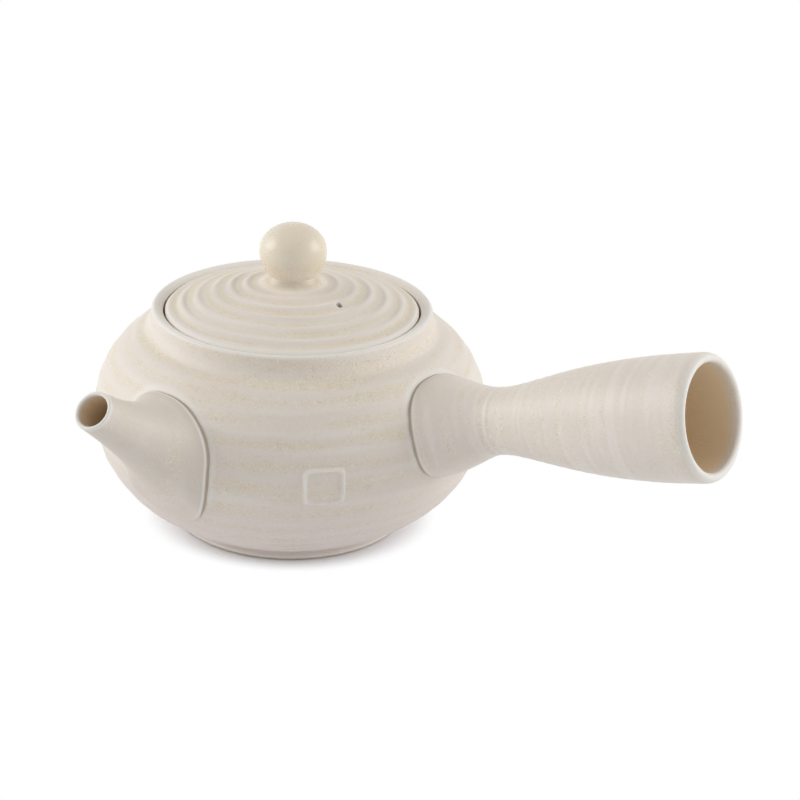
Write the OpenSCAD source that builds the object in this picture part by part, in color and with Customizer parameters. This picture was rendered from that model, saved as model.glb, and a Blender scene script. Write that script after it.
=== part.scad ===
// Side-handled teapot: a thrown body with a luted spout, strainer and hollow handle,
// and a lift-off lid with a ball knob. Millimetres, +Z up, origin at the centre of the foot,
// handle along +X, spout along -Y.

/* [Body] */
// Radius of the belly at its widest
belly_r = 60; // [52:0.5:72]
// Height of the belly's widest line above the table
belly_z = 35.5; // [31:0.5:40]
// Radius of the foot on the table
foot_r = 36.4; // [30:0.2:44]
// Height of the foot
foot_h = 3; // [1.6:0.1:6]
// How far the foot draws in at its top
foot_draw = 0.8; // [0.2:0.1:2]
// Rounding of the foot's lower edge
foot_round = 0.8; // [0.3:0.1:1.5]
// Thickness of the thrown wall
wall = 4; // [3:0.1:6]
// Thickness of the floor
floor_t = 5.5; // [4.5:0.1:8]
// Width of the slope between the wall's foot and the flat floor
floor_bend = 8; // [4:0.5:12]
// How far round its ellipse the shoulder turns, in degrees
shoulder_turn = 63.5; // [50:0.5:75]
// How far round its ellipse the lower wall turns, in degrees
base_turn = 65.6; // [50:0.2:75]
// Depth of the throwing rings on the wall
ring_depth = 0.22; // [0:0.02:0.5]
// Throwing rings between the belly and the collar
rings_above = 5; // [2:1:8]
// Throwing rings between the foot and the belly
rings_below = 6; // [2:1:9]

/* [Rim] */
// Radius of the rim's outside
rim_r = 42.4; // [38:0.1:48]
// Height of the rim above the table
rim_z = 68.1; // [62:0.1:78]
// Height of the collar above the shoulder
collar_h = 6.2; // [4:0.1:8]
// How far the shoulder stands out from the rim where the collar begins
collar_step = 0.9; // [0.4:0.1:3]
// How far out from the rim the collar's sweep is pulled
collar_pull_out = 0.3; // [0:0.1:0.8]
// How far up from the shoulder the collar's sweep is pulled
collar_pull_up = 0.9; // [0:0.1:3]
// Width of the rim from its outside to the lid's gallery
rim_w = 3.5; // [2.4:0.1:5]
// Rounding of the rim's crest
crest_round = 1.2; // [0.5:0.1:1.6]
// Fall of the rim's top from the crest to the gallery
rim_fall = 0.6; // [0.3:0.1:1.8]
// Depth of the lid's seat below the rim
seat_depth = 4.7; // [3.6:0.1:6]
// Width of the ledge that the lid sits on
seat_w = 5.2; // [3:0.1:8]
// Thickness of the ledge
seat_t = 3.6; // [2.6:0.1:5]
// Chamfer of the gallery's upper edge
gallery_edge = 0.4; // [0.2:0.1:1]
// Chamfer of the ledge's lower edge
throat_edge = 0.8; // [0.2:0.1:1.5]

/* [Spout] */
// Width of the spout where it is pressed on the wall
spout_w = 32.2; // [28:0.2:40]
// Distance from the top of the spout's edge down from the collar
spout_rim_gap = 6.3; // [4:0.1:10]
// Distance from the bottom of the spout's edge up from the foot
spout_foot_gap = 14.6; // [10:0.2:20]
// Reach of the spout's mouth beyond the belly
spout_reach = 26.6; // [20:0.2:34]
// Fall of the mouth's centre below the rim
spout_fall = 5.5; // [0:0.5:12]
// Lean of the mouth's face back from upright, in degrees
spout_lean = 42.5; // [25:0.5:55]
// Outer radius of the mouth
spout_tip_r = 5.4; // [4.6:0.1:7]
// Wall of the spout at its mouth
spout_tip_wall = 0.9; // [0.6:0.1:1.6]
// Wall of the spout at its waist
spout_wall = 2.8; // [2:0.1:3.4]
// Radius that the waist is drawn towards
spout_waist_r = 9.6; // [8.4:0.1:12]
// Reach of the waist beyond the belly
spout_waist_reach = 6.5; // [4:0.5:10]
// Fall of the waist's centre below the rim
spout_waist_fall = 20.4; // [16:0.2:24]
// Lean of the waist, in degrees
spout_waist_lean = 9; // [0:1:20]

/* [Strainer] */
// Radius of the hole through the wall behind the spout
port_r = 10.5; // [7:0.5:11.5]
// How far the spout's bore stands clear of that hole's edge
port_step = 1.5; // [0.5:0.1:2.5]
// Outer radius of the pierced dome
dome_r = 15; // [13.8:0.2:18]
// Wall of the pierced dome
dome_wall = 2.2; // [1.6:0.1:2.8]
// Radius of each pierced hole
pierce_r = 0.9; // [0.5:0.05:1.1]
// Holes in the first ring around the middle one, and more in each further ring
pierce_count = 6; // [5:1:7]
// Rings of holes around the middle one
pierce_rings = 4; // [2:1:4]
// Angle between rings of holes, in degrees
pierce_step = 14; // [12:0.5:15]

/* [Handle] */
// Rise of the handle above level, in degrees
handle_rise = 16.6; // [8:0.2:24]
// Width of the handle where it is pressed on the wall
handle_w = 32; // [28:0.2:38]
// Distance from the top of the handle's edge down from the collar
handle_rim_gap = 4.2; // [3:0.1:8]
// Distance from the bottom of the handle's edge down from the belly's widest line
handle_below = 5.5; // [2:0.1:10]
// Height of the handle's axis above the middle of its pressed edge, at the wall
handle_axis_up = 1.9; // [0:0.1:4]
// Distance along the handle from the wall to its waist
handle_neck = 19; // [15:0.5:26]
// Distance along the handle from the wall to its end
handle_len = 86.5; // [70:0.2:110]
// Radius of the handle's waist
handle_waist_r = 9.6; // [8.6:0.1:12]
// Radius of the handle's end
handle_end_r = 17.4; // [14:0.1:21]
// Distance from the wall over which the handle's pressed edge sweeps into its waist, on top
handle_flare = 7.5; // [2:0.5:12]
// The same distance underneath
handle_flare_under = 14; // [2:0.5:16]
// Length over which the grip leaves its waist
grip_pull_waist = 12; // [4:1:30]
// Length over which the grip reaches its end's radius
grip_pull_end = 39; // [10:1:50]
// Length of the rounding over the handle's lip
handle_lip = 2.6; // [1:0.1:4]
// Wall of the handle
handle_wall = 2.8; // [2.2:0.1:3.6]
// Chamfer of the lip's inner edge
handle_inner_edge = 0.5; // [0.2:0.1:1]

/* [Lid] */
// Clearance around the lid in its gallery, and around its flange in the throat
lid_gap = 0.6; // [0.4:0.05:1]
// How far the lid's edge lies below the rim's crest
lid_sink = 0.8; // [0.4:0.1:2]
// Rise of the lid from its edge to its middle
lid_rise = 9; // [5:0.2:12]
// Thickness of the lid
lid_t = 3.8; // [3:0.1:4.6]
// Depth of the locating flange under the lid's seat
flange_h = 5.7; // [4:0.1:9]
// Thickness of the locating flange
flange_t = 2.8; // [2:0.1:4]
// Depth of the lid's throwing rings
lid_ring_depth = 0.35; // [0:0.05:0.5]
// Distance between the lid's throwing rings
lid_ring_pitch = 4.9; // [4:0.1:7]
// Radius of the vent hole
vent_r = 1.1; // [0.7:0.1:1.8]
// Distance of the vent hole from the knob's edge
vent_out = 10.5; // [5:0.2:14]
// Direction of the vent hole, in degrees from the handle
vent_turn = -8; // [-180:1:180]
// Rounding of the lid's edge
lid_edge_round = 0.7; // [0.3:0.1:1.2]
// Chamfer under the lid's edge
lid_chamfer = 0.5; // [0.2:0.1:1]

/* [Knob] */
// Radius of the knob
knob_r = 10.1; // [8.6:0.1:12]
// Height of the knob's top above its widest line
knob_top = 8.3; // [6:0.1:11]
// Depth of the ball below its widest line
knob_under = 10.8; // [9:0.1:12]
// Radius of the knob's neck
neck_r = 7.7; // [6:0.1:8]
// Height of the knob's neck
neck_h = 2.6; // [2:0.1:4]
// Radius of the neck's base on the lid
neck_base_r = 9.3; // [8.6:0.1:11]
// Thickness of the neck's base at its edge
neck_edge = 0.3; // [0.1:0.1:0.8]

/* [Clay] */
// Thickness of the rounded edge where the spout and handle are pressed on the wall
edge_t = 1.2; // [0.8:0.1:2]
// Fullness of the pressed edges: 2 is an ellipse, more is squarer
edge_full = 2.3; // [2:0.1:3]
// Layer of slip between luted pieces
slip = 0.08; // [0.05:0.01:0.2]

/* [Hidden] */
$fn = 180;
hole_fn = 32;

clay = "#ded6c8";
clay_warm = "#e2d6c0";
clay_dark = "#c9b797";

// Steps along the wall's curve, and around and along the luted pieces
wall_steps = 34;
around = 48;
flare_steps = 9;
grip_steps = 14;
bore_steps = 9;
lip_steps = 4;
seat_steps = 7;

// The wall is a quarter ellipse below the belly's widest line and another above it
collar_z = rim_z - collar_h;
collar_r = rim_r + collar_step;
foot_neck_r = foot_r - foot_draw;
shoulder_h = (collar_z - belly_z) / sin(shoulder_turn);
shoulder_in = (belly_r - collar_r) / (1 - cos(shoulder_turn));
base_h = (belly_z - foot_h) / sin(base_turn);
base_in = (belly_r - foot_neck_r) / (1 - cos(base_turn));
steepest = 0.99;

function above(z) = z >= belly_z;
function turn_at(z) =
    asin(min(steepest, above(z) ? (z - belly_z) / shoulder_h : (belly_z - z) / base_h));
function ring_at(z) =
    ring_depth * cos(360 * turn_at(z) * (above(z) ? rings_above / shoulder_turn : rings_below / base_turn));
function smooth_r(z) = belly_r - (above(z) ? shoulder_in : base_in) * (1 - cos(turn_at(z)));
function wall_r(z) = smooth_r(z) + ring_at(z);
function unit(v) = v / norm(v);
function wall_normal(z) =
    above(z) ? unit([cos(turn_at(z)) / shoulder_in, sin(turn_at(z)) / shoulder_h])
             : unit([cos(turn_at(z)) / base_in, -sin(turn_at(z)) / base_h]);
function wall_z(step) =
    step < 0 ? belly_z + base_h * sin(base_turn * step / wall_steps)
             : belly_z + shoulder_h * sin(shoulder_turn * step / wall_steps);

// Curves that three or four points shape, and arcs
function bez2(a, b, c, s) = (1 - s) ^ 2 * a + 2 * s * (1 - s) * b + s ^ 2 * c;
function bez3(a, b, c, d, s) = (1 - s) * bez2(a, b, c, s) + s * bez2(b, c, d, s);
function arc(centre, r, from, to, steps) =
    [for (i = [0 : steps]) let (a = from + (to - from) * i / steps) centre + r * [cos(a), sin(a)]];

// Rim, gallery and throat
gallery_r = rim_r - rim_w;
throat_r = gallery_r - seat_w;
seat_z = rim_z - seat_depth;

outside = concat(
    [[0, 0]],
    arc([foot_r - foot_round, foot_round], foot_round, -90, 0, lip_steps),
    [for (i = [1 : lip_steps])
        bez2([foot_r, foot_round], [foot_neck_r, foot_h / 2], [wall_r(foot_h), foot_h], i / (lip_steps + 1))],
    [for (i = [-wall_steps : wall_steps]) [wall_r(wall_z(i)), wall_z(i)]],
    [for (i = [1 : flare_steps])
        bez2([collar_r, collar_z], [rim_r + collar_pull_out, collar_z + collar_pull_up],
             [rim_r, rim_z - crest_round], i / flare_steps)],
    arc([rim_r - crest_round, rim_z - crest_round], crest_round, 0, 90, lip_steps * 2),
    [[gallery_r + gallery_edge, rim_z - rim_fall], [gallery_r, rim_z - rim_fall - gallery_edge],
     [gallery_r, seat_z], [throat_r, seat_z], [throat_r, seat_z - seat_t + throat_edge],
     [throat_r + throat_edge, seat_z - seat_t]]);

// The inside of the pot, a set depth under the wall's smooth curve, from the throat to the floor
inside_steps = 12;
function inside_pt(z, depth) = [smooth_r(z), z] - depth * wall_normal(z);
function inside(depth) = concat(
    [for (i = [inside_steps : -1 : -inside_steps])
        let (p = inside_pt(wall_z(i * wall_steps / inside_steps), depth)) if (p[1] > floor_t) p],
    [[foot_neck_r - floor_bend, floor_t]]);

module body() {
    color(clay)
    difference() {
        rotate_extrude() polygon(concat(outside, inside(wall), [[0, floor_t]]));
        translate([0, 0, port_z])
            rotate([90, 0, 0])
            cylinder(h = 2 * belly_r, r = port_r);
    }
}

// Points on the wall's ridges for a piece that points along +X, lifted off them along the normal
function wall_pt(p, lift) =
    let (y = p[0], z = p[1], r = smooth_r(z) + ring_depth, n = wall_normal(z), x = sqrt(r * r - y * y))
    [x * (1 + lift * n[0] / r), y * (1 + lift * n[0] / r), z + lift * n[1]];
function turn_of(i) = 360 * i / around;
function full(c, fullness) = sign(c) * abs(c) ^ (2 / fullness);
function edge_line(w, low, high, fullness = 2) =
    [for (i = [0 : around - 1])
        [w / 2 * full(cos(turn_of(i)), fullness),
         (low + high) / 2 + (high - low) / 2 * full(sin(turn_of(i)), fullness)]];
function on_wall(line, lift) = [for (p = line) wall_pt(p, lift)];
// The pressed face of a luted piece, from the line of its bore out to its edge
function pressed_rows(bore_line, line) =
    [for (i = [1 : seat_steps]) on_wall(bore_line + (line - bore_line) * i / seat_steps, slip)];
function lean_pt(centre, lean, r, i) =
    centre + r * [-sin(lean) * sin(turn_of(i)), cos(turn_of(i)), cos(lean) * sin(turn_of(i))];
function lean_ring(centre, lean, r) = [for (i = [0 : around - 1]) lean_pt(centre, lean, r, i)];
function blend_rings(a, b, c, s) = [for (i = [0 : around - 1]) bez2(a[i], b[i], c[i], s)];

// One closed skin over rows of points that go out along the outside and back along the bore
module skin(rows) {
    count = len(rows);
    polyhedron(
        points = [for (row = rows) each row],
        faces = [for (j = [0 : count - 1], i = [0 : around - 1])
            let (a = j * around + i, b = j * around + (i + 1) % around,
                 k = (j + 1) % count, c = k * around + (i + 1) % around, d = k * around + i)
            each [[a, d, c], [a, c, b]]]);
}

// Spout, drawn along +X and turned to -Y
spout_low = foot_h + spout_foot_gap;
spout_high = collar_z - spout_rim_gap;
spout_mouth = [belly_r + spout_reach, 0, rim_z - spout_fall];
spout_waist = [belly_r + spout_waist_reach, 0, rim_z - spout_waist_fall];
port_z = (spout_low + spout_high) / 2;
spout_bore_r = port_r + port_step;
spout_line = edge_line(spout_w, spout_low, spout_high, edge_full);
spout_bore_line = edge_line(2 * spout_bore_r, port_z - spout_bore_r, port_z + spout_bore_r);
spout_lip = spout_tip_wall / 2;
spout_dir = [cos(spout_lean), 0, sin(spout_lean)];

function spout_skin(s) =
    blend_rings(on_wall(spout_line, slip + edge_t),
                lean_ring(spout_waist, spout_waist_lean, spout_waist_r),
                lean_ring(spout_mouth, spout_lean, spout_tip_r), s);
function spout_bore(s) =
    blend_rings(on_wall(spout_bore_line, slip),
                lean_ring(spout_waist, spout_waist_lean, spout_waist_r - spout_wall),
                lean_ring(spout_mouth, spout_lean, spout_tip_r - spout_tip_wall), s);

module spout() {
    color(clay)
    rotate([0, 0, -90])
    skin(concat(
        [for (i = [0 : grip_steps]) spout_skin(i / grip_steps)],
        [for (i = [1 : lip_steps - 1]) let (a = 180 * i / lip_steps)
            lean_ring(spout_mouth + spout_lip * sin(a) * spout_dir, spout_lean,
                      spout_tip_r - spout_lip * (1 - cos(a)))],
        [for (i = [bore_steps : -1 : 0]) spout_bore(i / bore_steps)],
        pressed_rows(spout_bore_line, spout_line)));
}

// Strainer: a pierced dome that bulges into the pot over the port behind the spout
dome_centre = [0, -(wall_r(port_z) - wall), port_z];
pierce_from = dome_r - 2 * dome_wall;
pierce_len = 3 * dome_wall;

module strainer() {
    color(clay_dark)
    difference() {
        intersection() {
            translate(dome_centre) sphere(r = dome_r);
            rotate_extrude() polygon(concat([[0, seat_z - seat_t]], inside(wall + slip), [[0, floor_t + slip]]));
        }
        translate(dome_centre) sphere(r = dome_r - dome_wall);
        for (ring = [0 : pierce_rings], i = [0 : max(0, pierce_count * ring - 1)])
            translate(dome_centre)
            rotate([-90, 0, 0])
            rotate([0, 0, 360 * i / (pierce_count * max(1, ring))])
            rotate([pierce_step * ring, 0, 0])
            translate([0, 0, pierce_from])
            cylinder(h = pierce_len, r = pierce_r, $fn = hole_fn);
    }
}

// Handle: pressed edge, waist, and a grip that swells to an open end
handle_low = belly_z - handle_below;
handle_high = collar_z - handle_rim_gap;
handle_root_z = (handle_low + handle_high) / 2 + handle_axis_up;
handle_root = [wall_r(handle_root_z), 0, handle_root_z];
handle_dir = [cos(handle_rise), 0, sin(handle_rise)];
handle_line = edge_line(handle_w, handle_low, handle_high, edge_full);
handle_bore_r = handle_waist_r - handle_wall;
handle_bore_line = edge_line(2 * handle_waist_r, handle_root_z - handle_waist_r,
                             handle_root_z + handle_waist_r);
handle_end = handle_len - handle_lip;

function grip(s) =
    bez3([handle_neck, handle_waist_r], [handle_neck + grip_pull_waist, handle_waist_r],
         [handle_end - grip_pull_end, handle_end_r], [handle_end, handle_end_r], s);
function handle_ring(along, r) = lean_ring(handle_root + along * handle_dir, handle_rise, r);
function along_of(p) = (p - handle_root) * handle_dir;
function flare_at(i) =
    (handle_flare + handle_flare_under) / 2 + (handle_flare - handle_flare_under) / 2 * sin(turn_of(i));
function flare(edge, r, s) =
    blend_rings(edge,
                [for (i = [0 : around - 1])
                    lean_pt(handle_root + (along_of(edge[i]) + flare_at(i)) * handle_dir, handle_rise, r, i)],
                handle_ring(handle_neck, r), s);

module handle() {
    color(clay)
    skin(concat(
        [for (i = [0 : flare_steps])
            flare(on_wall(handle_line, slip + edge_t), handle_waist_r, i / flare_steps)],
        [for (i = [1 : grip_steps]) handle_ring(grip(i / grip_steps)[0], grip(i / grip_steps)[1])],
        [for (i = [1 : 2 * lip_steps]) let (a = 90 * i / (2 * lip_steps))
            handle_ring(handle_end + handle_lip * sin(a),
                        handle_end_r - (handle_wall - handle_inner_edge) * (1 - cos(a)))],
        [handle_ring(handle_len - handle_inner_edge, handle_end_r - handle_wall)],
        [for (i = [grip_steps : -1 : 1])
            handle_ring(grip(i / grip_steps)[0], grip(i / grip_steps)[1] - handle_wall)],
        [for (i = [bore_steps : -1 : 0])
            flare(on_wall(handle_bore_line, slip), handle_bore_r, i / bore_steps)],
        pressed_rows(handle_bore_line, handle_line)));
}

// Lid: a domed disc with rings, an edge in the gallery and a flange in the throat
lid_r = gallery_r - lid_gap;
lid_edge_z = rim_z - lid_sink;
lid_under_z = seat_z + slip;
lid_flange_r = throat_r - lid_gap;
lid_edge_turn = atan(lid_r / (2 * lid_rise));
lid_steps = 44;

function dome_z(r) = lid_edge_z + lid_rise * (1 - (r / lid_r) ^ 2);
function lid_top(r) = dome_z(r) - lid_ring_depth * (1 - cos(360 * (lid_r - r) / lid_ring_pitch));
pad_z = lid_top(neck_base_r);

module lid() {
    flange_in = lid_flange_r - flange_t;
    lid_last = lid_r - lid_edge_round;
    color(clay)
    difference() {
        rotate_extrude() polygon(concat(
            [[0, pad_z]],
            [for (i = [0 : lid_steps])
                let (r = neck_base_r + (lid_last - neck_base_r) * i / lid_steps) [r, lid_top(r)]],
            arc([lid_last, lid_edge_z - lid_edge_round], lid_edge_round, lid_edge_turn, 0, lip_steps),
            [[lid_r, lid_under_z + lid_chamfer], [lid_r - lid_chamfer, lid_under_z],
             [lid_flange_r, lid_under_z], [lid_flange_r, seat_z - flange_h],
             [flange_in, seat_z - flange_h]],
            [for (i = [0 : bore_steps]) let (r = flange_in * (1 - i / bore_steps)) [r, dome_z(r) - lid_t]]));
        rotate([0, 0, vent_turn])
            translate([neck_base_r + vent_out, 0, seat_z])
            cylinder(h = 2 * lid_rise + seat_depth, r = vent_r, $fn = hole_fn);
    }
}

// Knob: a ball on a short neck that flares out on the lid
knob_foot_z = pad_z + slip;
neck_dip = knob_under * sqrt(1 - (neck_r / knob_r) ^ 2);
knob_z = knob_foot_z + neck_h + neck_dip;
ball_steps = 20;

module knob() {
    low_turn = asin(neck_dip / knob_under);
    color(clay_warm)
    rotate_extrude() polygon(concat(
        [[0, knob_foot_z], [neck_base_r, knob_foot_z]],
        [for (i = [0 : flare_steps])
            bez2([neck_base_r, knob_foot_z + neck_edge], [neck_r, knob_foot_z + neck_edge],
                 [neck_r, knob_foot_z + neck_h], i / flare_steps)],
        [for (i = [1 : ball_steps]) let (a = -low_turn * (1 - i / ball_steps))
            [knob_r * cos(a), knob_z + knob_under * sin(a)]],
        [for (i = [1 : ball_steps]) let (a = 90 * i / ball_steps)
            [i == ball_steps ? 0 : knob_r * cos(a), knob_z + knob_top * sin(a)]]));
}

body();
spout();
strainer();
handle();
lid();
knob();
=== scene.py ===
"""Side-handled teapot: a hand-thrown pot in ivory glaze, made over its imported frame."""

import math
from collections import namedtuple
from functools import partialmethod

import bmesh
import bpy
from bpy.props import FloatProperty, FloatVectorProperty, PointerProperty
from mathutils import Color, Matrix, Vector, noise


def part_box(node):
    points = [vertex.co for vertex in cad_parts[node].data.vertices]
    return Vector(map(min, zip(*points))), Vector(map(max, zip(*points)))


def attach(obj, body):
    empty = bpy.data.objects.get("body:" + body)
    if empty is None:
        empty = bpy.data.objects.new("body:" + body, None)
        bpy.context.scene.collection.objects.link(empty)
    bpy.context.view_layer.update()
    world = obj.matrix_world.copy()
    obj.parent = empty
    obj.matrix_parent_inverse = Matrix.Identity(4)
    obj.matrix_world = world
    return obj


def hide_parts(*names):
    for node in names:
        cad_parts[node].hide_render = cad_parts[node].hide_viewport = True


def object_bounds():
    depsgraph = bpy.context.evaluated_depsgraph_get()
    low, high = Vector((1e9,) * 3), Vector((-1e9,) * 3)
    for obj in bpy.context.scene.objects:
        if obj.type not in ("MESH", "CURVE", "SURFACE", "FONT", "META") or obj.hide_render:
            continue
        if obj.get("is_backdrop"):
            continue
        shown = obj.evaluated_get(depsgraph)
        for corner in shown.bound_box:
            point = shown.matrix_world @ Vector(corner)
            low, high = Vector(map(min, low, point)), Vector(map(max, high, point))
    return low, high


bl_info = {
    "name": "Side-handled teapot",
    "version": (1, 0, 0),
    "blender": (4, 5, 0),
    "location": "3D View > Sidebar > Teapot",
    "description": "Throws, lutes and glazes a side-handled teapot over its packed frame",
    "category": "Add Mesh",
}

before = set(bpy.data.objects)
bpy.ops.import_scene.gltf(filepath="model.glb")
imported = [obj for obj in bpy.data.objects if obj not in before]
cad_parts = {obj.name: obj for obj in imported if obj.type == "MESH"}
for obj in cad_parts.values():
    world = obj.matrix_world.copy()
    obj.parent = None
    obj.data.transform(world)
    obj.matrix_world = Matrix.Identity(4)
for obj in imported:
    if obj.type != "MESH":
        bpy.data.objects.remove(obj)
CAD_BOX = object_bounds()
BODY_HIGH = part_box("body")[1]
LID_LOW, LID_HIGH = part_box("lid")
KNOB_LOW, KNOB_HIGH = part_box("knob")

MM = 0.001
FULL_TURN = 2 * math.pi
QUARTER_TURN = math.pi / 2
STEEPEST = 0.99  # sine of the farthest turn round the wall's ellipses
WELD = 0.002 * MM  # points this close are merged
SLIP_GAP = 0.08 * MM  # between the lid and its seat
CREASE = math.radians(40)  # edges that bend more stay sharp

# Points around a turned piece and around a luted one, and steps along their outlines
TURNED_STEPS = 288
LUTED_STEPS = 144
WALL_STEPS = 132
SWEEP_STEPS = 14
ARC_STEPS = 7
FINE_STEPS = 60

# Width of the swells that a hand leaves, and of the stretches over which rings come and go
SWELL_SIZE = 24 * MM
RING_STRETCH = 16 * MM

# Grains in a metre of glaze and of bare clay, where in the grain the pores and the pale flecks begin and are
# full, how much of the grit lies in the warm bands alone, and the heights where the blush begins and is full
GLAZE_FINENESS = 1700.0
CLAY_FINENESS = 900.0
PORES = (0.46, 0.3)
FLECKS = (0.53, 0.66)
BAND_GRIT = 0.65
BLUSH = (36 * MM, 12 * MM)

# The floor's paint, half its width and its fall below the pot
FLOOR_WHITE = (0.87, 0.89, 0.92, 1.0)
FLOOR_HALF = 4.0
FLOOR_DROP = 0.05 * MM

# What each point of a piece tells its glaze: how far along the outline it lies, whether on a ridge or in
# a groove of the throwing rings, on a thin edge (pale glaze, on some pieces also a painted highlight), in a
# hollow, under painted shade in a crevice or gap, and how uneven the hand left it
TONES = ("along", "ridge", "edge", "hollow", "seam", "swell")
Turned = namedtuple("Turned", ("r", "z") + TONES, defaults=(0.0,) * len(TONES))
Ring = namedtuple("Ring", ("points",) + TONES, defaults=(0.0,) * len(TONES))


def number(name, description, default, **kind):
    """A number, with its unit or subtype where it has one."""
    return FloatProperty(name=name, description=description, default=default, **kind)


def length(name, description, millimetres):
    """A size in metres, given in millimetres."""
    return number(name, description, millimetres * MM, unit="LENGTH", precision=5)


def angle(name, description, degrees):
    """An angle, given in degrees."""
    return number(name, description, math.radians(degrees), subtype="ANGLE")


def share(name, description, default):
    """A share from 0 to 1."""
    return number(name, description, default, min=0, max=1, subtype="FACTOR")


def colour(name, description, code):
    """A colour, given as a screen colour such as #e4ddd0."""
    shares = [int(code[i : i + 2], 16) / 255 for i in (1, 3, 5)]
    linear = [s / 12.92 if s <= 0.04045 else ((s + 0.055) / 1.055) ** 2.4 for s in shares]
    return FloatVectorProperty(
        name=name, description=description, default=linear, min=0, max=1, subtype="COLOR"
    )


class BodySizes(bpy.types.PropertyGroup):
    """Sizes of the thrown body below its collar"""

    belly_r: length("Belly radius", "Radius at its widest", 60)
    belly_z: length("Belly height", "Height of its widest line", 35.5)
    foot_r: length("Foot radius", "Radius on the table", 36.4)
    foot_h: length("Foot height", "Height up to its neck", 3)
    foot_draw: length("Foot draw", "How far it draws in at its neck", 0.8)
    foot_sweep: share("Foot sweep", "Share of the lower wall after which it sweeps to the foot", 0.9)
    foot_round: length("Foot rounding", "Rounding of its lower edge", 1.1)
    wall: length("Wall", "Thickness of the wall", 4)
    floor: length("Floor", "Thickness of the floor", 5.5)
    floor_bend: length("Floor bend", "Width of the slope from the wall to the flat floor", 8)
    shoulder_turn: angle("Shoulder turn", "How far round its ellipse the shoulder turns", 63.5)
    base_turn: angle("Base turn", "How far round its ellipse the lower wall turns", 65.6)
    ring_depth: length("Ring depth", "Depth of the throwing rings", 0.08)
    ring_crest: number("Ring crest", "Sharpness of the ridges", 1.5)
    ring_above: share("Ridge above", "Share of the shoulder below its first ridge", 0.1)
    ring_below: share("Ridge below", "Share of the lower wall above its first ridge", 0.131)
    pitch_above: share("Pitch above", "Share of the shoulder from ridge to ridge", 0.188)
    pitch_below: share("Pitch below", "Share of the lower wall from ridge to ridge at the belly", 0.204)
    tighten: number("Tighten", "How much closer the rings lie towards the foot", 1.12)
    swell: length("Swell", "Unevenness left by the hand", 0.12)


class RimSizes(bpy.types.PropertyGroup):
    """Sizes of the collar, the rim and the lid's gallery"""

    rim_r: length("Rim radius", "Radius of its outside", 42.4)
    rim_z: number("Rim height", "Height of its crest", BODY_HIGH.z, unit="LENGTH")
    collar_h: length("Collar height", "Height over the shoulder", 6.2)
    collar_step: length("Collar step", "How far the shoulder stands out below it", 0.9)
    collar_pull_out: length("Collar pull", "How far out its sweep is pulled", 0.3)
    rim_w: length("Rim width", "Width from its outside to the gallery", 3.5)
    crest_round: length("Crest rounding", "Rounding of the crest", 1.2)
    rim_fall: length("Rim fall", "Fall from its crest to the gallery", 1.0)
    sweep_from: share("Sweep from", "Share of the shoulder after which it sweeps to the collar", 0.94)
    seat_depth: length("Seat depth", "Depth of the lid's seat below the rim", 4.7)
    seat_w: length("Seat width", "Width of the ledge that the lid sits on", 5.2)
    seat_t: length("Seat thickness", "Thickness of that ledge", 3.6)


class SpoutSizes(bpy.types.PropertyGroup):
    """Sizes of the spout and the hole behind it"""

    width: length("Width", "Width where it is pressed on the wall", 31.4)
    rim_gap: length("Gap to the collar", "Distance from the top of its edge", 7.2)
    foot_gap: length("Gap to the foot", "Distance from the bottom of its edge", 14.2)
    reach: length("Reach", "Reach of the mouth beyond the belly", 26.35)
    fall: length("Fall", "Fall of the mouth's centre below the rim", 5.85)
    lean: angle("Lean", "Lean of the mouth's face back from upright", 42.5)
    tip_r: length("Mouth radius", "Outer radius of the mouth", 5.7)
    tip_wall: length("Mouth wall", "Wall at the mouth", 1.15)
    wall: length("Wall", "Wall at the waist", 2.8)
    waist_r: length("Waist radius", "Radius that the waist is drawn towards", 8.3)
    waist_reach: length("Waist reach", "Reach of the waist beyond the belly", 6.5)
    waist_fall: length("Waist fall", "Fall of the waist's centre below the rim", 21.7)
    waist_lean: angle("Waist lean", "Lean of the waist", 9)
    edge_t: length("Edge thickness", "Thickness of the edge pressed on the wall", 1.35)
    widest: share("Widest", "Share of that edge's height at which it is widest", 0.59)
    shift: length("Shift", "How far the top of that edge lies to one side", -3.6)
    port_z: length("Port height", "Height of the middle of the hole through the wall", 36.6)
    port_r: length("Port radius", "Radius of that hole", 10.5)
    port_step: length("Port step", "How far the bore stands clear of that hole", 1.5)


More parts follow.
